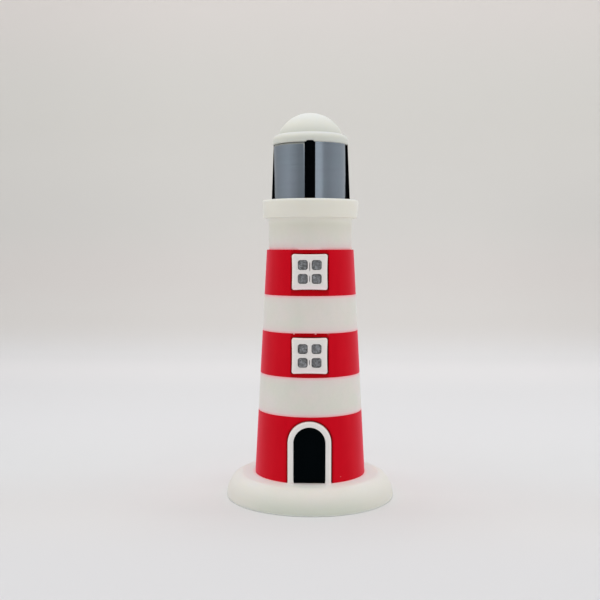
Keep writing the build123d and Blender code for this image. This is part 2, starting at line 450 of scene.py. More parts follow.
def paint(tree, shader, colour, bumps):
    """Links the base colour, and chains (height socket, depth in metres) pairs into the shader's normal."""
    tree.links.new(colour, shader.inputs["Base Color"])
    normal = None
    for height, depth in bumps:
        inputs = {"Height": height, "Strength": 1.0, "Distance": depth}
        if normal is not None:
            inputs["Normal"] = normal
        normal = add_node(tree, "ShaderNodeBump", inputs).outputs[0]
    tree.links.new(normal, shader.inputs["Normal"])


def print_marks(tree):
    """Bumps of printed plastic: its layers and a fine grain."""
    return [(layer_lines(tree), 0.006 * MM), (noise_value(tree, 2500.0), 0.004 * MM)]


def tinted(tree, colour, tints):
    """The colour with each (maker of a share, tint) pair mixed over it in turn."""
    for share, tint in tints:
        colour = mixed_colour(tree, share(tree), colour, tint)
    return colour


def constant(share):
    """Maker of the same share everywhere."""
    return lambda tree: share


def waxy_white(name, tints, sheen=0.22):
    """Off-white printed plastic with a faint depth, mottling and layer lines."""
    material, tree, shader = new_material(name, GREENISH, 0.5, 0.3, {
        "Sheen Weight": sheen, "Sheen Roughness": 0.4, "Subsurface Weight": 0.35,
        "Subsurface Radius": (1.0, 0.9, 0.7), "Subsurface Scale": 0.9 * MM})
    cloud = remapped(tree, noise_value(tree, 150.0), 0.36, 0.64)
    colour = mixed_colour(tree, cloud, GREENISH, PINKISH)
    speckle = remapped(tree, noise_value(tree, 1400.0, 4.0), 0.3, 0.7, 0.0, 0.05)
    colour = mixed_colour(tree, speckle, colour, (0.45, 0.43, 0.38))
    tree.links.new(remapped(tree, noise_value(tree, 700.0), 0.3, 0.7, 0.42, 0.58), shader.inputs["Roughness"])
    paint(tree, shader, tinted(tree, colour, tints), print_marks(tree))
    return material


def near_height(z, reach, share):
    """Maker of a share that fades out above and below height z."""
    return lambda tree: eased(tree, offset(tree, height_value(tree), z), 0.0, reach, share, 0.0)


def between(value, full, none, share=1.0):
    """Maker of a share that is full at one reading of a value and gone at another."""
    return lambda tree: eased(tree, value(tree), full, none, share, 0.0)


def spot(x, z, reach, share=0.8):
    """Maker of a small soft spot on the front."""
    def maker(tree):
        away = add_node(tree, "ShaderNodeVectorMath", {0: turned_point(tree, (1, 0, 1)), 1: (x, 0, z)},
                        operation="DISTANCE").outputs["Value"]
        return product(tree, remapped(tree, away, 0.5 * reach, reach, share, 0.0), on_front(tree))
    return maker


def tower_white():
    """Painted red glow next to the red bands, painted light under the gallery and on its lip and face, and a
    painted highlight along its top edge.
    """
    # Painted red glow on the white next to each red band
    tints = [(near_height(z, 2.5 * MM, 0.6), (0.81, 0.64, 0.635)) for z in BAND_FEET[1:]]
    tints += [(near_height(z, 0.8 * MM, 0.85), (1.0, 0.46, 0.50)) for z in BAND_FEET[1:]]
    # Painted light under the gallery, on its lip and on its face, and a painted highlight along its top edge
    shade = between(height_value, GALLERY_BOTTOM - 0.5 * MM, GALLERY_BOTTOM - 7 * MM, 0.85)
    lip = between(height_value, GALLERY_BOTTOM - 0.3 * MM, GALLERY_BOTTOM - 2.2 * MM, 0.9)
    face = between(height_value, GALLERY_BOTTOM + 0.3 * MM, GALLERY_BOTTOM - 0.2 * MM, 0.9)
    rim = between(height_value, GALLERY_TOP - 0.1 * MM, GALLERY_TOP - 0.8 * MM, 0.7)
    tints += [(shade, (0.775, 0.757, 0.655)), (lip, (0.86, 0.845, 0.76)),
              (face, (0.825, 0.80, 0.715)), (rim, (0.86, 0.86, 0.80))]
    return waxy_white("tower_white", tints, 0.35)


def roof_white():
    """Cooler than the tower, with painted light on its left and at its top, painted shade on the brim, under
    the brim and where dome and brim meet, and a painted highlight along the brim's crest.
    """
    # Painted light on the left and at the top; painted shade on the brim
    left = between(side_value, -BRIM_RADIUS, 0.3 * BRIM_RADIUS, 0.8)
    brim = between(height_value, LANTERN_TOP, LANTERN_TOP + 2.6 * MM, 0.7)
    top = between(height_value, DOME_TOP, DOME_TOP - 4 * MM, 0.9)
    dome_foot = math.sqrt(DOME_RADIUS ** 2 - (BRIM_TOP - DOME_MIDDLE) ** 2) + 0.02 * MM

    def part_of(maker, test):
        return lambda tree: product(tree, maker(tree), math_node(tree, test, radius_value(tree), dome_foot))

    # Painted shade where dome and brim meet, and a painted highlight along the brim's crest
    corner = part_of(between(height_value, BRIM_TOP + 0.1 * MM, BRIM_TOP + 2.4 * MM, 0.6), "LESS_THAN")
    crest = part_of(between(height_value, BRIM_TOP - 0.05 * MM, BRIM_TOP - 0.9 * MM, 0.8), "GREATER_THAN")
    # Painted shade on the brim's lower edge
    under = between(height_value, LANTERN_TOP + 0.3 * MM, LANTERN_TOP + 1.5 * MM, 0.4)
    return waxy_white("roof_white", [
        (constant(0.8), (0.705, 0.717, 0.65)), (left, (0.775, 0.76, 0.67)), (brim, (0.685, 0.70, 0.635)),
        (top, (0.79, 0.80, 0.775)), (corner, (0.61, 0.62, 0.56)), (crest, (0.725, 0.733, 0.735)),
        (under, (0.62, 0.63, 0.58))])


def base_white():
    """Painted red glow at the tower's foot, painted shade, greener and darker, towards the table and in front
    of the door, and painted light on its left and right, at its very foot, on its top and close round the
    tower.
    """
    # Painted shade low down, and painted light on the left, on the right and at the very foot
    low = between(height_value, 0.9 * MM, 5.2 * MM, 0.85)
    left = between(side_value, -20.5 * MM, -8 * MM, 0.9)
    right = between(side_value, 20 * MM, 8 * MM, 0.8)
    foot = between(height_value, 0.1 * MM, 0.55 * MM, 0.8)
    # Painted light on the top inside the rim's shoulder and close round the tower, and painted red glow at
    # the tower's foot
    ridge = between(radius_value, 17.2 * MM, 18.9 * MM, 0.4)
    wide_glow = between(radius_value, 14.4 * MM, 17.0 * MM, 0.5)
    glow = between(radius_value, 14.4 * MM, 15.4 * MM, 0.8)

    # Painted light, greener and bluer, on the top beside the tower to its left and right
    def beside(tree):
        aside = between(aside_value, 14 * MM, 7 * MM)(tree)
        return product(tree, aside, between(radius_value, 14.4 * MM, 22 * MM, 0.95)(tree))

    # Painted shade on the base in front of the door
    def door_shade(tree):
        middle = between(aside_value, 3.4 * MM, 5.2 * MM)(tree)
        return product(tree, between(radius_value, 13.9 * MM, 15.7 * MM, 0.75)(tree), middle, on_front(tree))

    return waxy_white("base_white", [
        (constant(0.5), (0.765, 0.745, 0.675)), (low, (0.648, 0.676, 0.588)), (left, (0.785, 0.75, 0.685)),
        (right, (0.77, 0.745, 0.675)), (foot, (0.86, 0.88, 0.82)), (ridge, (0.78, 0.80, 0.75)),
        (wide_glow, (0.81, 0.80, 0.76)), (beside, (0.825, 0.90, 0.89)), (glow, (0.98, 0.76, 0.75)),
        (door_shade, (0.50, 0.49, 0.46))])


def from_plate(node, aside_share=1.0, above_share=1.0):
    """Maker of the distance outside a window frame's edge; a larger share counts more distance that way."""
    low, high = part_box(node)
    middle = (low.z + high.z) / 2

    def maker(tree):
        aside = math_node(tree, "SUBTRACT", aside_value(tree), high.x)
        above = math_node(tree, "SUBTRACT", offset(tree, height_value(tree), middle), high.z - middle)
        aside, above = product(tree, aside, aside_share), product(tree, above, above_share)
        return math_node(tree, "MAXIMUM", aside, above)
    return maker


def from_arch(tree):
    """Distance outside the door's arch."""
    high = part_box("door_arch")[1]
    above = math_node(tree, "MAXIMUM", math_node(tree, "SUBTRACT", height_value(tree), high.z - high.x), 0.0)
    return math_node(tree, "SUBTRACT", hypotenuse(tree, side_value(tree), above), high.x)


def red(name, outside, edge, reach=2.8 * MM, depth=0.85, tints=()):
    """Red printed plastic with a broad sheen, and painted shade round a plate that is set into its front.

    outside makes the distance that the painted shade follows, and edge the one that its painted shadow line
    follows.
    """
    material, tree, shader = new_material(name, RED_MIDDLE, 0.55, 0.015, {
        "Sheen Weight": 1.0, "Sheen Roughness": 0.42, "Sheen Tint": (1.0, 0.20, 0.27, 1)})
    colour = mixed_colour(tree, noise_value(tree, 300.0), RED_LIGHT, RED_DARK)
    streaks = noise_value(tree, 1.0, 2.0, turned_point(tree, (500, 500, 60)))
    colour = mixed_colour(tree, remapped(tree, streaks, 0.3, 0.7, 0.0, 0.2), colour, RED_STREAK)
    # Painted shade: deeper red close round the plate or the arch, on the front, at a share of depth at its
    # edge
    near = eased(tree, outside(tree), 0.0, reach, depth, 0.0)
    colour = mixed_colour(tree, product(tree, near, on_front(tree)), colour, RED_PAINTED_SHADE)
    # Painted shadow: a dark line close beside the plate or the arch, darker on its right
    close = eased(tree, edge(tree), 0.2 * MM, 0.6 * MM, 0.9, 0.0)
    rightwards = remapped(tree, side_value(tree), -1 * MM, 1 * MM, 0.55, 1.0)
    colour = mixed_colour(tree, product(tree, close, rightwards, on_front(tree)), colour, RED_SHADOW)
    paint(tree, shader, tinted(tree, colour, tints), print_marks(tree))
    return material


def black():
    """Near-black plastic of the lantern's core, with faint scuffs."""
    material, tree, shader = new_material("black", (0.0006, 0.001, 0.0016), 0.45, 0.012)
    scuffs = remapped(tree, noise_value(tree, 900.0, 4.0), 0.5, 0.75)
    paint(tree, shader, mixed_colour(tree, scuffs, (0.0005, 0.0009, 0.0015), (0.0016, 0.0020, 0.0028)),
          [(layer_lines(tree), 0.008 * MM), (noise_value(tree, 1500.0), 0.006 * MM)])
    return material


def door_black():
    """Near-black door leaf with a fine diagonal hatch."""
    material, tree, shader = new_material("door_black", (0.0006, 0.0016, 0.0024), 0.6, 0.012)
    lines = hatch(tree, 0.42 * MM)
    paint(tree, shader, mixed_colour(tree, lines, (0.0002, 0.0012, 0.0020), (0.0010, 0.0026, 0.0034)),
          [(lines, 0.02 * MM), (noise_value(tree, 1500.0), 0.006 * MM)])
    return material


def trim_white(name, outside, reach=1.2 * MM, tints=()):
    """White trim with a painted highlight along its edge that fades greyer inwards; outside makes the
    distance outside that edge.
    """
    material, tree, shader = new_material(name, (0.80, 0.79, 0.76), 0.5, 0.3)
    cloud = remapped(tree, noise_value(tree, 260.0), 0.36, 0.64)
    colour = mixed_colour(tree, cloud, (0.83, 0.80, 0.77), (0.865, 0.81, 0.785))
    # Painted highlight: lighter towards the edge, and a pinkish white painted highlight on the edge's bead
    inside = product(tree, outside(tree), -1.0)
    colour = mixed_colour(tree, remapped(tree, inside, 0.3 * MM, reach, 0.7, 0.0), colour, (0.93, 0.89, 0.85))
    bead = eased(tree, inside, 0.15 * MM, 0.5 * MM, 1.0, 0.0)
    colour = mixed_colour(tree, bead, colour, (1.0, 0.89, 0.84))
    paint(tree, shader, tinted(tree, colour, tints),
          [(hatch(tree, 0.4 * MM), 0.004 * MM), (noise_value(tree, 2500.0), 0.004 * MM)])
    return material


# Height ranges of the dark lines between a window's panes, in millimetres from its middle
HAIRLINES = {"upper": [(0.05, 2.6), (-2.65, -0.8)], "middle": [(-2.3, -0.85)]}


def plate_tints(storey):
    """Dark printed lines between the panes, and painted red glow at its foot."""
    low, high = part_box(f"{storey}_window_frame")
    middle = (low.z + high.z) / 2

    def line(bottom, top):
        half = (top - bottom) / 2 * MM

        def share(tree):
            away = offset(tree, height_value(tree), middle + (bottom + top) / 2 * MM)
            reach = remapped(tree, away, half, 0.6 * half)
            return product(tree, remapped(tree, aside_value(tree), 0.17 * MM, 0.04 * MM, 0.0, 0.85), reach)
        return share

    tints = [(line(bottom, top), (0.16, 0.14, 0.16)) for bottom, top in HAIRLINES[storey]]
    # Painted red glow along the plate's foot
    return tints + [(between(height_value, low.z + 0.5 * MM, low.z + 1.5 * MM, 0.6), (0.87, 0.71, 0.73))]


def window_grey():
    """Mottled grey inserts with a coarse diagonal hatch."""
    material, tree, shader = new_material("window_grey", (0.17, 0.175, 0.18), 0.55, 0.2)
    lines = hatch(tree, 0.8 * MM)
    blotch = remapped(tree, noise_value(tree, 1500.0), 0.43, 0.57, 0.0, 0.9)
    tone = remapped(tree, noise_value(tree, 600.0, 1.0), 0.42, 0.58, 0.0, 0.6)
    spots = remapped(tree, noise_value(tree, 2300.0), 0.54, 0.66, 0.0, 0.85)
    colour = mixed_colour(tree, lines, (0.172, 0.179, 0.180), (0.205, 0.213, 0.220))
    colour = mixed_colour(tree, blotch, colour, (0.355, 0.366, 0.392))
    colour = mixed_colour(tree, tone, colour, (0.150, 0.148, 0.155))
    colour = mixed_colour(tree, spots, colour, (0.05, 0.052, 0.048))
    paint(tree, shader, colour, [(lines, 0.03 * MM), (noise_value(tree, 1300.0), 0.02 * MM)])
    return material


def silver_film():
    """Silver-grey film with fine level brush lines, and a painted highlight along its top and beside the
    front post, on its front left.
    """
    material, tree, shader = new_material("silver_film", (0.24, 0.282, 0.325), 0.16, 0.5, {"Metallic": 0.75})
    brushed = noise_value(tree, 1.0, 3.0, turned_point(tree, (70, 70, 5200)))
    patches = remapped(tree, noise_value(tree, 260.0), 0.35, 0.65, 0.0, 0.35)
    colour = mixed_colour(tree, brushed, (0.20, 0.238, 0.276), (0.272, 0.318, 0.362))
    colour = mixed_colour(tree, patches, colour, (0.243, 0.262, 0.312))
    # Painted highlight along the top edge and beside the front post, on the front left only
    height = height_value(tree)
    upper = remapped(tree, height, LANTERN_TOP - 0.65 * MM, LANTERN_TOP - 0.35 * MM)
    near_post = between(side_value, -1.35 * MM, -1.75 * MM)(tree)
    corner = product(tree, near_post, remapped(tree, height, LANTERN_TOP - 2.6 * MM, LANTERN_TOP - 0.6 * MM))
    on_left = math_node(tree, "LESS_THAN", side_value(tree), 0.0)
    lit = product(tree, math_node(tree, "MAXIMUM", upper, corner), on_left, on_front(tree), 0.7)
    colour = mixed_colour(tree, lit, colour, (0.42, 0.42, 0.36))
    tree.links.new(remapped(tree, brushed, 0.3, 0.7, 0.13, 0.19), shader.inputs["Roughness"])
    paint(tree, shader, colour, [(brushed, 0.0015 * MM), (noise_value(tree, 300.0), 0.01 * MM)])
    return material


# Specks of the band above the middle window and painted shade in the top right corner of its recess, and a
# speck beside the door
NICK_HEIGHT = UPPER_WHITE_FOOT - 0.05 * MM
NICKS_AND_CORNER_SHADE = [(spot(1.5 * MM, NICK_HEIGHT, 0.32 * MM), (0.85, 0.55, 0.55)),
         (spot(-3.9 * MM, NICK_HEIGHT, 0.3 * MM), (0.85, 0.50, 0.50)),
         # Painted shade in the corner of the window's recess
         (spot(4.65 * MM, NICK_HEIGHT - 0.05 * MM, 0.45 * MM, 0.5), (0.35, 0.10, 0.08))]
DOOR_SPECK = [(spot(7.85 * MM, 7.5 * MM, 0.13 * MM, 0.45), (0.8, 0.4, 0.4))]


def window_band_red(storey, tints=()):
    """Red of a band with a window, with painted shade that reaches further above and below the plate than
    beside it.
    """
    node = f"{storey}_window_frame"
    return red(f"{storey}_red", from_plate(node, 4.8), from_plate(node, 1, 3), tints=tints)


TOWER_WHITE = tower_white()
BASE_WHITE = base_white()
ROOF_WHITE = roof_white()
ARCH_WHITE = trim_white("arch_white", from_arch, 0.7 * MM, [(constant(0.3), (0.885, 0.865, 0.845))])
PLATE_WHITE = {storey: trim_white(f"{storey}_plate_white", from_plate(f"{storey}_window_frame"),
                                  tints=plate_tints(storey)) for storey in HAIRLINES}
# Painted shade and a painted shadow line round the door's arch
LOWER_RED = red("lower_red", from_arch, from_arch, 1.0 * MM, 0.7, DOOR_SPECK)
MIDDLE_RED = window_band_red("middle", NICKS_AND_CORNER_SHADE)
UPPER_RED = window_band_red("upper")
BLACK = black()
DOOR_BLACK = door_black()
WINDOW_GREY = window_grey()
SILVER_FILM = silver_film()


# Base and tower

# (inset from the base's radius, height) in millimetres of its small rounding at the table
FOOT_PROFILE = [(0.8, 0), (0.26, 0), (0.17, 0.07), (0.1, 0.2), (0.06, 0.45)]


def base():
    """Round foot with a quarter-round rim and the peg for the tower."""
    rim = arc((BASE_RADIUS - BASE_RIM_WIDTH, 0), (BASE_RIM_WIDTH, BASE_TOP), 8, 90, 40)
    flat = Vector((BASE_RADIUS - BASE_RIM_WIDTH - 0.3 * MM, BASE_TOP))
    foot = [Vector((BASE_RADIUS - inset * MM, height * MM)) for inset, height in FOOT_PROFILE]
    outline = [Vector((0, 0))] + foot + rim + [flat] + rounded_outline(peg_above(BASE_TOP))
    stand_for(turned("base_shell", outline, no_seam), "base", BASE_WHITE)


def tower_section(name, bottom, top):
    """Tapered block with a keyed socket below and a keyed peg above."""
    edge = 0.05 * MM
    outline = socket_below(bottom) + [(tower_radius(bottom), bottom, edge), (tower_radius(top), top, edge)]
    return turned(name, rounded_outline(outline + peg_above(top), 3))


def place_of(node):
    """Centre, side and face distance of a window frame or a pane."""
    low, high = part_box(node)
    return ((low.x + high.x) / 2, (low.z + high.z) / 2), high.x - low.x, -low.y


def recess(node, band_top):
    """Cutter for the flat recess from just below a window up to just above the top of its red band."""
    (_, z), side, face = place_of(node)
    low, high = -side / 2 - 0.08 * MM, band_top + 0.1 * MM - z
    half = RECESS_WIDTH / 2
    outline = [(half, low), (half, high), (-half, high), (-half, low)]
    return prism("recess", outline, face + CUTTER_REACH, face - RECESS_DEPTH, z)


def window_cuts(node):
    """Cutters for the pocket, slightly right and high, and the pin hole behind a window frame."""
    (_, z), side, face = place_of(node)
    shift = (0.4 * POCKET_GAP, 0.5 * POCKET_GAP)
    outline = square_loop(side + 2 * POCKET_GAP, WINDOW_CORNER + POCKET_GAP, shift)
    seat = face - WINDOW_THICKNESS
    return [prism("pocket", outline, face + CUTTER_REACH, seat, z), pin(seat, z, FIT_GAP)]


def arch_loop(half, height, foot=0.0):
    """Round-topped outline from its right foot, over the top, to its left foot."""
    spring = height - half
    leg = [(half, foot + (spring - foot) * k / LEG_STEPS) for k in range(LEG_STEPS)]
    top = [tuple(p) for p in arc((0, spring), (half, half), 0, 180, CIRCLE_STEPS)]
    return leg + top + [(-x, y) for x, y in reversed(leg)]


def door_cuts():
    """Cutters for the pocket and the pin hole behind the door."""
    low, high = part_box("door_arch")
    outline = arch_loop(high.x + POCKET_GAP, high.z - low.z + POCKET_GAP, -0.5 * MM)
    return [prism("door_pocket", outline, -low.y + CUTTER_REACH, DOOR_SEAT, low.z),
            pin(DOOR_SEAT, low.z + DOOR_PIN_HEIGHT, FIT_GAP)]


def tower():
    """The five bands; the recess over the middle window also notches the white band above it."""
    middle, upper = "middle_window_frame", "upper_window_frame"
    cuts = (door_cuts(), [], [recess(middle, UPPER_WHITE_FOOT)] + window_cuts(middle),
            [recess(middle, UPPER_WHITE_FOOT)], [recess(upper, NECK_FOOT)] + window_cuts(upper))
    materials = (LOWER_RED, TOWER_WHITE, MIDDLE_RED, TOWER_WHITE, UPPER_RED)
    for node, foot, top, cutters, material in zip(BANDS, BAND_FEET, BAND_FEET[1:], cuts, materials):
        section = tower_section(node + "_shell", foot, top)
        if cutters:
            boolean(section, "DIFFERENCE", cutters)
        stand_for(section, node, material)


# Windows

PANE_CORNERS = ("top_left", "top_right", "bottom_left", "bottom_right")
# (inset from the plate's edge, depth behind its face) in millimetres: side wall, bead, groove and flat
FRAME_PROFILE = [(0, 1.85), (0, 0.12), (0.01, 0.06), (0.03, 0.02), (0.08, 0.002), (0.22, 0), (0.33, 0.015),
                 (0.42, 0.05), (0.50, 0.08), (0.60, 0.09), (0.70, 0.08), (0.80, 0.08)]
# (growth around a pane pocket, depth behind the plate's face) in millimetres: a low bead
BEAD_PROFILE = [(0, 0.30), (0, 0.09), (0.07, 0.05), (0.19, 0.04), (0.31, 0.05), (0.37, 0.09), (0.37, 0.30)]
# (growth, depth) in millimetres of the pocket cutter, with a rounded mouth
POCKET_PROFILE = [(0, 0.95), (0, 0.22), (0.015, 0.14), (0.05, 0.08), (0.16, 0), (0.3, -0.3)]
# (inset from a pane's edge, depth behind its middle) in millimetres: side wall and crown
PANE_PROFILE = [(0, 0.6), (0, 0.36), (0.04, 0.28), (0.12, 0.2), (0.3, 0.12), (0.55, 0.05), (0.85, 0.01),
                (1.05, 0)]


def around_pane(centre, opening, face, profile):
    """Loops round a pane pocket that follow a profile of (growth, depth) pairs."""
    return [front_loop(square_loop(opening + 2 * grow * MM, (0.65 + grow) * MM, centre), face - depth * MM, 0)
            for grow, depth in profile]


def window_frame(storey):
    """Square plate with a beaded edge, four pockets with low beads, and hairlines between printed lines."""
    node = f"{storey}_window_frame"
    (_, z), side, face = place_of(node)
    outer = side + WINDOW_PINCH * 1.2
    loops = []
    for inset, depth in FRAME_PROFILE:
        rounding = max(WINDOW_CORNER - inset * MM, 0.12 * MM)
        outline = square_loop(outer - 2 * inset * MM, rounding, pinch=WINDOW_PINCH)
        loops.append(front_loop(outline, face - depth * MM, z))
    plate = loft(node + "_plate", loops)
    beads, cuts = [], []
    for corner in PANE_CORNERS:
        centre, pane_side, _ = place_of(f"{storey}_window_pane_{corner}")
        opening = pane_side + 0.04 * MM
        beads.append(loft("bead", around_pane(centre, opening, face, BEAD_PROFILE), capped=False))
        cuts.append(loft("pane_pocket", around_pane(centre, opening, face, POCKET_PROFILE)))
    for low, high in HAIRLINES[storey]:
        middle = (low + high) / 2 * MM
        sliver = [(HAIRLINE_HALF, middle), (0, high * MM), (-HAIRLINE_HALF, middle), (0, low * MM)]
        cuts.append(prism("hairline", sliver, face + 0.2 * MM, face - HAIRLINE_DEPTH, z))
    boolean(plate, "UNION", [pin(face - WINDOW_THICKNESS, z)] + beads)
    boolean(plate, "DIFFERENCE", cuts)
    stand_for(plate, node, PLATE_WHITE[storey])


def window_pane(node):
    """Small crowned insert on the floor of its pocket."""
    centre, side, face = place_of(node)
    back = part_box(node)[1].y
    loops = []
    for inset, drop in PANE_PROFILE:
        outline = square_loop(side - 2 * inset * MM, max((0.63 - inset) * MM, 0.1 * MM), centre)
        loops.append(front_loop(outline, max(face - drop * MM, -back), 0))
    stand_for(loft(node + "_insert", loops), node, WINDOW_GREY)


def windows():
    for storey in HAIRLINES:
        window_frame(storey)
        for corner in PANE_CORNERS:
            window_pane(f"{storey}_window_pane_{corner}")


# Door

# (distance across the band from its inner edge, depth behind its face) in millimetres
ARCH_PROFILE = [(0, 1.9), (0, 0.14), (0.04, 0.05), (0.12, 0), (0.4, 0), (0.56, 0.01), (0.63, 0.03),
                (0.69, 0.03), (0.77, 0.01), (0.92, 0), (1.22, 0), (1.33, 0.005), (1.38, 0.025), (1.4, 0.06),
                (1.41, 0.12), (1.41, 1.9)]
# (inset, depth) in millimetres of the leaf's edge
LEAF_PROFILE = [(0, 1.3), (0, 0.1), (0.03, 0.03), (0.1, 0), (0.3, 0)]


def door_arch():
    """Band swept up one side of the door, over the top and down, with a slight flare at its feet."""
    low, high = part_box("door_arch")
    inner_half = high.x - DOOR_BAND
    inner_top = high.z - low.z - DOOR_BAND
    spring = inner_top - inner_half
    loops = []
    for x, y in arch_loop(inner_half, inner_top):
        if y >= spring:
            out = Vector((x, y - spring)).normalized()
        else:
            out = Vector((1 if x > 0 else -1, 0))
        flare = 0.12 * math.exp(-y / (0.5 * MM))
        loop = []
        for across, depth in ARCH_PROFILE:
            reach = (across - flare * max(0.0, 1 - across / 0.5)) * MM
            loop.append((x + out.x * reach, low.y + depth * MM, low.z + y + out.y * reach))
        loops.append(loop)
    stand_for(loft("door_arch_band", loops), "door_arch", ARCH_WHITE)


def door_panel():
    """Dark leaf with a softened edge and its pin."""
    low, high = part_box("door_panel")
    loops = []
    for inset, depth in LEAF_PROFILE:
        outline = arch_loop(high.x - inset * MM, high.z - low.z - inset * MM)
        loops.append(front_loop(outline, -low.y - depth * MM, low.z))
    leaf = loft("door_panel_leaf", loops)
    boolean(leaf, "UNION", [pin(DOOR_SEAT, low.z + DOOR_PIN_HEIGHT)])
    stand_for(leaf, "door_panel", DOOR_BLACK)


# Gallery

def gallery_neck():
    """Neck that flares into the gallery, with a low parapet round its deck."""
    parapet = GALLERY_TOP_RADIUS - 1.1 * MM
    outline = socket_below(NECK_FOOT) + [
        (NECK_RADIUS, NECK_FOOT, 0.05 * MM),
        (NECK_RADIUS, GALLERY_BOTTOM - 0.12 * MM, 0.9 * MM),
        (GALLERY_BOTTOM_RADIUS + 0.06 * MM, GALLERY_BOTTOM, 0.16 * MM),
        (GALLERY_BOTTOM_RADIUS + 0.12 * MM, GALLERY_BOTTOM + 0.8 * MM, 0.5 * MM),
        (GALLERY_TOP_RADIUS, GALLERY_TOP, 0.38 * MM),
        (parapet, GALLERY_TOP, 0.2 * MM),
        (parapet, DECK, 0.1 * MM),
    ]
    shell = turned("gallery_neck_shell", rounded_outline(outline + peg_above(DECK)))
    stand_for(shell, "gallery_neck", TOWER_WHITE)


# Lantern room

# (foot's distance, tip's distance, how far the foot stands out) in millimetres: front, right, back, left
POST_LEANS = [(10.08, 9.66, 0.0), (10.1, 9.62, 0.22), (10.08, 9.6, 0.0), (10.0, 9.43, 0.0)]


def post(foot_radius, tip_radius, kick, quarter):
    """Leaning rib with chamfered top corners and softened edges; kick is how far its foot stands out."""
    tip = LANTERN_TOP + POST_TIP
    half, cut = POST_HALF, POST_CHAMFER
    flare = half + POST_FLARE
    neck, knee = GALLERY_TOP + 0.5 * MM, GALLERY_TOP + POST_FOOT
    right = [(flare, DECK), (flare, GALLERY_TOP), (half, neck), (half, knee), (half, tip - cut),
             (half - cut, tip)]
    face = right + [(-x, z) for x, z in reversed(right)]
    front = []
    for x, z in face:
        share = (z - DECK) / (tip - DECK)
        out = kick * min(1.0, max(0.0, (knee - z) / POST_FOOT))
        front.append((x, -(foot_radius + share * (tip_radius - foot_radius) + out), z))
    rib = loft("post", [front, [(x, -POST_ROOT_RADIUS, z) for x, z in face]])
    work = bmesh.new()
    work.from_mesh(rib.data)
    rim = [e for e in work.edges if all(v.co.y < -POST_ROOT_RADIUS - 0.5 * MM for v in e.verts)]
    bmesh.ops.bevel(work, geom=rim, offset=0.13 * MM, segments=3, affect="EDGES", profile=0.5)
    bmesh.ops.rotate(work, verts=work.verts, cent=(0, 0, 0), matrix=quarter_turn(quarter, 3))
    work.to_mesh(rib.data)
    work.free()
    return rib


def lantern_core():
    """Dark drum with a post at the front, on the right, at the back and on the left."""
    outline = socket_below(DECK) + [(CORE_RADIUS, DECK, 0.05 * MM), (CORE_RADIUS, LANTERN_TOP, 0.05 * MM)]
    core = turned("lantern_core_shell", rounded_outline(outline + peg_above(LANTERN_TOP), 3))
    boolean(core, "UNION", [post(foot * MM, tip * MM, kick * MM, quarter)
                            for quarter, (foot, tip, kick) in enumerate(POST_LEANS)])
    stand_for(core, "lantern_core", BLACK)


# For each pane, its middle's direction in degrees, then in millimetres: how far its clockwise end and its
# other end stop short, at the foot and at the top, how far its clockwise top corner stands out, and how far
# its top sits below the brim
PANE_LEANS = {
    "front_left": (225, (0.6, 0.0), (0.0, 0.05), 0.12, 0.16),
    "front_right": (315, (0.0, 0.0), (0.0, 1.4), 0.0, 0.0),
    "rear_left": (135, (0.1, 0.0), (0.0, 0.2), 0.0, 0.05),
    "rear_right": (45, (0.0, 0.2), (0.1, 0.0), 0.0, 0.05),
}


def lantern_pane(place):
    """Thin curved sheet between two posts, slightly uneven as film is, with a curl at its edges."""
    node = f"lantern_pane_{place}"
    low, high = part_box(node)
    turn, foot_short, top_short, corner, drop = PANE_LEANS[place]
    pane_top = high.z - drop * MM
    half_span = math.pi / 4 - math.asin((POST_HALF + POST_FLARE) / (PANE_RADIUS - PANE_THICKNESS))
    across, up = 60, 60
    skins = []
    for radius in (PANE_RADIUS, PANE_RADIUS - PANE_THICKNESS):
        for k in range(up + 1):
            share = k / up
            z = low.z + share * (pane_top - low.z)
            ends = [foot + share * (top - foot) for foot, top in zip(foot_short, top_short)]
            first = math.radians(turn) - half_span + ends[0] * MM / PANE_RADIUS
            last = math.radians(turn) + half_span - ends[1] * MM / PANE_RADIUS
            for i in range(across + 1):
                side = i / across
                angle = first + side * (last - first)
                to_end = (last - angle) * PANE_RADIUS
                r = radius + 0.02 * MM * noise.noise(Vector((angle * 3, z / (5 * MM), turn)))
                r += corner * MM * share * max(0.0, 1 - 2.5 * side) ** 2
                r -= PANE_CURL * max(0.0, 1 - to_end / (0.45 * MM)) ** 2 * share
                if drop:
                    r -= PANE_CURL * max(0.0, 1 - (pane_top - z) / (0.4 * MM)) ** 2
                skins.append((r * math.cos(angle), r * math.sin(angle), z))
    row = across + 1
    sheet = row * (up + 1)
    faces = []
    for k in range(up):
        for i in range(across):
            a = k * row + i
            faces.append((a, a + 1, a + row + 1, a + row))
            faces.append((sheet + a, sheet + a + row, sheet + a + row + 1, sheet + a + 1))
    rim = [(k * row + i, k * row + i + 1) for k in (0, up) for i in range(across)]
    rim += [(k * row + i, k * row + i + row) for k in range(up) for i in (0, across)]
    faces += [(a, sheet + a, sheet + b, b) for a, b in rim]
    stand_for(mesh_piece(node + "_film", skins, faces), node, SILVER_FILM)


# Roof

def roof_notch(quarter):
    """Cutter for the notch under the brim that a post's tip enters."""
    half, top, cut = POST_HALF + NOTCH_GAP, POST_TIP + NOTCH_GAP, POST_CHAMFER
    right = [(half, -0.3 * MM), (half, top - cut), (half - cut, top)]
    outline = right + [(-x, y) for x, y in reversed(right)]
    notch = prism("notch", outline, BRIM_RADIUS + 1 * MM, POST_ROOT_RADIUS - NOTCH_GAP, LANTERN_TOP)
    notch.data.transform(quarter_turn(quarter, 4))
    return notch


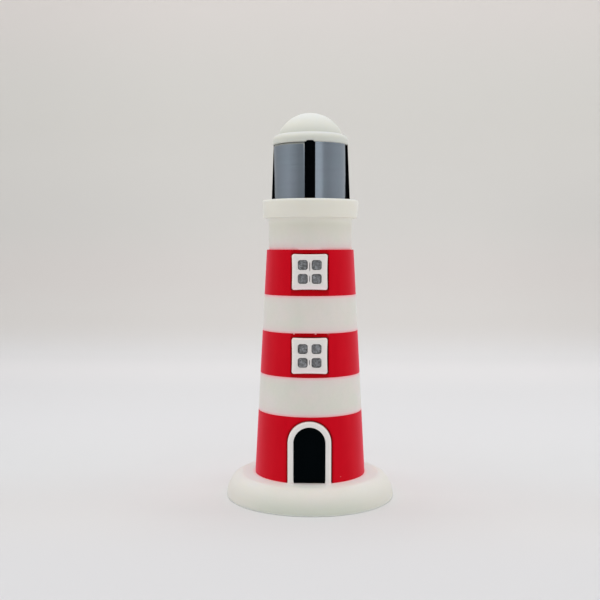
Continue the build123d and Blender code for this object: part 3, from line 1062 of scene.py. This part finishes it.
def roof():
    """Brim with a round shoulder, and the dome on it."""
    width, height = 1.65 * MM, 1.45 * MM
    edge = 0.35 * MM
    lower = arc((BRIM_RADIUS - edge, LANTERN_TOP + edge), (edge, edge), -90, 0, 8)
    shoulder = [p for p in arc((BRIM_RADIUS - width, BRIM_TOP - height), (width, height), 0, 90, 40)
                if p.x > math.sqrt(DOME_RADIUS ** 2 - (p.y - DOME_MIDDLE) ** 2)]
    start = math.degrees(math.asin((shoulder[-1].y - DOME_MIDDLE) / DOME_RADIUS))
    dome = arc((0, DOME_MIDDLE), (DOME_RADIUS, DOME_RADIUS), start + 0.4, 90, 60)
    dome[-1].x = 0
    cap = turned("roof_shell", rounded_outline(socket_below(LANTERN_TOP)) + lower + shoulder + dome)
    boolean(cap, "DIFFERENCE", [roof_notch(quarter) for quarter in range(4)])
    stand_for(cap, "roof", ROOF_WHITE)


base()
tower()
windows()
door_arch()
door_panel()
gallery_neck()
lantern_core()
for place in PANE_LEANS:
    lantern_pane(place)
roof()


# Stage, camera and light

CAMERA_PLACE = (2.1 * MM, -240.27 * MM, 65.1 * MM)
CAMERA_DOWN = math.radians(3.32)
CAMERA_LEFT = math.radians(2.0)
CAMERA_LENS = 55.26
CAMERA_SHIFT = 0.0233
LIGHT_AIM = Vector((0, 0, 0.05))
STUDIO_LEVEL = 0.60

# (distance along the sweep in metres, colour) of painted light and shade: the near floor, the floor behind,
# the bend and the wall
SWEEP_TONES = [
    (-0.30, (0.72, 0.715, 0.715)), (-0.06, (0.715, 0.713, 0.722)),
    (-0.02, (0.724, 0.717, 0.715)), (0.03, (0.745, 0.75, 0.757)),
    (0.10, (0.757, 0.756, 0.768)), (0.16, (0.760, 0.757, 0.767)),
    (0.25, (0.805, 0.795, 0.802)), (0.31, (0.785, 0.778, 0.783)),
    (0.41, (0.698, 0.674, 0.652)), (0.48, (0.682, 0.650, 0.627)),
    (0.55, (0.670, 0.652, 0.624)), (0.66, (0.706, 0.688, 0.652)),
    (0.75, (0.738, 0.695, 0.667)),
]

# Brightness of the studio near the horizon, by direction in degrees from the front, positive to the right
HORIZON = [(-180, 0.9), (-126, 0.91), (-90, 1.3), (-72, 1.42), (-50, 1.05), (-33, 0.7), (-12, 0.75), (4, 1.3),
           (13, 1.95), (35, 1.98), (44, 0.98), (60, 0.92), (90, 1.2), (119, 1.3), (180, 1.1)]


def ramped(tree, value, stops, interpolation="LINEAR"):
    """Colour ramp over a value, with (place, colour) stops that span its range."""
    low, high = stops[0][0], stops[-1][0]
    node = add_node(tree, "ShaderNodeValToRGB", {"Fac": remapped(tree, value, low, high)})
    node.color_ramp.interpolation = interpolation
    elements = node.color_ramp.elements
    while len(elements) < len(stops):
        elements.new(0.5)
    for element, (place, colour) in zip(elements, stops):
        element.position = (place - low) / (high - low)
        element.color = (*colour, 1)
    return node.outputs[0]


def backdrop_material():
    """Matt card with painted light and shade along the sweep, painted shade at its sides and in front of the
    base, and painted light just behind the base.
    """
    material, tree, shader = new_material("backdrop", (0.7, 0.7, 0.7), 0.95, 0.1)
    across, behind = side_value(tree), depth_value(tree)
    along = math_node(tree, "ADD", behind, height_value(tree))
    tone = ramped(tree, along, SWEEP_TONES, "EASE")
    # Painted shade towards the left side, and on the floor towards both sides; painted shade in front of the
    # base and painted light behind it
    left = eased(tree, across, -0.26, -0.08, 0.945, 0.99)
    left_floor = eased(tree, across, -0.16, -0.02, -0.03, 0.0)
    right = eased(tree, across, 0.10, 0.21, 0.0, -0.035)
    below_wall = remapped(tree, along, 0.61, 0.54)
    lower = product(tree, math_node(tree, "ADD", left_floor, right), below_wall)
    near = eased(tree, radius_value(tree), 0.022, 0.06, 1.0, 0.0)
    near = product(tree, near, remapped(tree, behind, -0.018, 0.0, -0.02, 0.06))
    side = product(tree, left, math_node(tree, "ADD", lower, 1.0), math_node(tree, "ADD", near, 1.0))
    shade = add_node(tree, "ShaderNodeCombineColor", {"Red": side, "Green": side, "Blue": side})
    node = add_node(tree, "ShaderNodeMix", data_type="RGBA", blend_type="MULTIPLY")
    node.inputs[0].default_value = 1.0
    tree.links.new(tone, node.inputs[6])
    tree.links.new(shade.outputs[0], node.inputs[7])
    tree.links.new(node.outputs[2], shader.inputs["Base Color"])
    return material


def sweep_backdrop():
    """Pale floor that curves up into a wall behind the figurine."""
    near, far, side, bend, top, steps = -1.6, 0.48, 1.6, 0.16, 1.6, 16
    profile = [(near, 0.0), (far - bend, 0.0)]
    for k in range(1, steps + 1):
        angle = math.pi / 2 * k / steps
        profile.append((far - bend + bend * math.sin(angle), bend - bend * math.cos(angle)))
    profile.append((far, top))
    points = [(x, y, z) for y, z in profile for x in (-side, side)]
    faces = [(2 * k, 2 * k + 1, 2 * k + 3, 2 * k + 2) for k in range(len(profile) - 1)]
    mesh = bpy.data.meshes.new("backdrop")
    mesh.from_pydata(points, [], faces)
    mesh.shade_smooth()
    backdrop = link("backdrop", mesh)
    mesh.materials.append(backdrop_material())
    backdrop.visible_glossy = False


def add_camera():
    """Camera in front of the figurine and a little above its middle."""
    data = bpy.data.cameras.new("camera")
    data.lens = CAMERA_LENS
    data.sensor_width = 36.0
    data.clip_start = 0.01
    data.shift_x = CAMERA_SHIFT
    camera = link("camera", data)
    camera.location = CAMERA_PLACE
    camera.rotation_euler = (math.pi / 2 - CAMERA_DOWN, 0, CAMERA_LEFT)
    bpy.context.scene.camera = camera


def soft_box(name, place, size, power):
    """Square area light aimed at the middle of the figurine."""
    data = bpy.data.lights.new(name, "AREA")
    data.size = size
    data.energy = power
    lamp = link(name, data)
    lamp.location = place
    lamp.rotation_euler = (LIGHT_AIM - Vector(place)).to_track_quat("-Z", "Y").to_euler()
    lamp.visible_glossy = False


def studio_world():
    """Even surroundings, with broad brighter and darker zones near the horizon that the film reflects."""
    world = bpy.data.worlds.new("studio")
    world.use_nodes = True
    tree = world.node_tree
    direction = add_node(tree, "ShaderNodeTexCoord").outputs["Generated"]
    place = add_node(tree, "ShaderNodeSeparateXYZ", {"Vector": direction}).outputs
    turn = math_node(tree, "ARCTAN2", place[0], product(tree, place[1], -1.0))
    zones = ramped(tree, turn, [(math.radians(degrees), (level / 2,) * 3) for degrees, level in HORIZON])
    low = eased(tree, place[2], 0.45, 0.2, 0.0, 1.0)
    level = product(tree, mixed_colour(tree, low, (0.5, 0.5, 0.5), zones), 2 * STUDIO_LEVEL)
    background = tree.nodes["Background"]
    background.inputs["Color"].default_value = (0.97, 0.985, 1.0, 1)
    tree.links.new(level, background.inputs["Strength"])
    bpy.context.scene.world = world


sweep_backdrop()
add_camera()
studio_world()
soft_box("top_light", (0, -0.05, 0.75), 0.7, 2.6)
soft_box("left_light", (-0.7, -0.1, 0.3), 0.6, 0.9)
soft_box("right_light", (0.7, -0.1, 0.3), 0.6, 0.9)
bpy.context.scene.view_settings.view_transform = "Standard"
